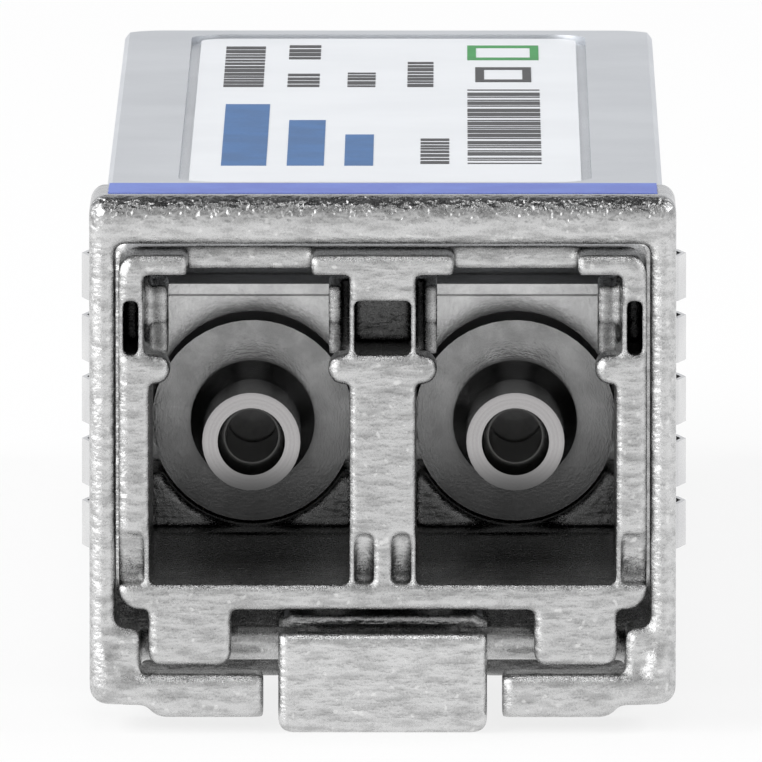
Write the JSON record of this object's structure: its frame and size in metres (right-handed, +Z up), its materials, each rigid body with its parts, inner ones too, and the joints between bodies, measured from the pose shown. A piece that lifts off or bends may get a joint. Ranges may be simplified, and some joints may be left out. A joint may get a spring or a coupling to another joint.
{
  "type": "sfp transceiver",
  "caption": "Pluggable fibre transceiver module: cast body with a duplex port face, swing-down release bail, rocking latch, sprung collar and edge tongue.",
  "frame": {"origin": "middle of the outline seen from above, on the plane under the latch block", "axes": "+Z up through the cover, +Y from the port face to the edge tongue, +X to the right of the face"},
  "size_m": [0.0144, 0.0564, 0.0126],
  "materials": {
    "plated_casting": "rough die-cast zinc with bright nickel plating",
    "cover_plating": "satin nickel-plated lid",
    "spring_steel": "bright formed spring sheet",
    "clip_sheet": "dull formed sheet",
    "barrel_steel": "turned stainless steel, darkened",
    "label_paper": "white coated label",
    "blue_plastic": "periwinkle blue marking strip",
    "sleeve_ceramic": "fine zirconia",
    "can_metal": "drawn nickel can",
    "header_gold": "gold-plated header",
    "flex_film": "amber polyimide film",
    "board_green": "green solder mask on glass epoxy",
    "contact_gold": "hard gold on nickel",
    "chip_black": "black moulding compound",
    "capacitor_body": "tan chip ceramic",
    "resistor_body": "black glazed chip",
    "pad_grey": "soft gap filler",
    "screw_steel": "dark zinc screws"
  },
  "bodies": {
    "housing": {"base_housing": "plated_casting", "top_cover": "cover_plating", "type_label": "label_paper", "emi_collar": "spring_steel", "osa_clip": "clip_sheet", "latch_pivot_pin": "screw_steel", "latch_spring": "spring_steel", "main_board": "board_green", "edge_contacts": "contact_gold", "driver_chip": "chip_black", "amplifier_chip": "chip_black", "controller_chip": "chip_black", "memory_chip": "chip_black", "capacitors": "capacitor_body", "resistors": "resistor_body", "thermal_pad": "pad_grey", "cover_screws": "screw_steel", "tx_receptacle": "barrel_steel", "tx_sleeve": "sleeve_ceramic", "tx_fibre_stub": "sleeve_ceramic", "tx_can": "can_metal", "tx_header": "header_gold", "tx_flex": "flex_film", "rx_receptacle": "barrel_steel", "rx_sleeve": "sleeve_ceramic", "rx_fibre_stub": "sleeve_ceramic", "rx_can": "can_metal", "rx_header": "header_gold", "rx_flex": "flex_film"},
    "bail": {"bail_handle": "plated_casting", "colour_strip": "blue_plastic"},
    "latch": {"latch_rocker": "plated_casting"}
  },
  "joints": [
    {"name": "bail_swing", "type": "hinge", "parent": "housing", "child": "bail", "pos_m": [0, -0.02635, 0.0019], "axis": [1, 0, 0], "range_deg": [0, 90]},
    {"name": "latch_rock", "type": "hinge", "parent": "housing", "child": "latch", "pos_m": [0, -0.02225, 0.00215], "axis": [1, 0, 0], "range_deg": [0, 5.2], "stiffness_Nm_per_rad": 0.01, "springref_deg": -11.46, "deforming": ["latch_spring"]}
  ],
  "couplings": [
    {"joint": "latch_rock", "follows": "bail_swing", "ratio": 0.0577}
  ]
}
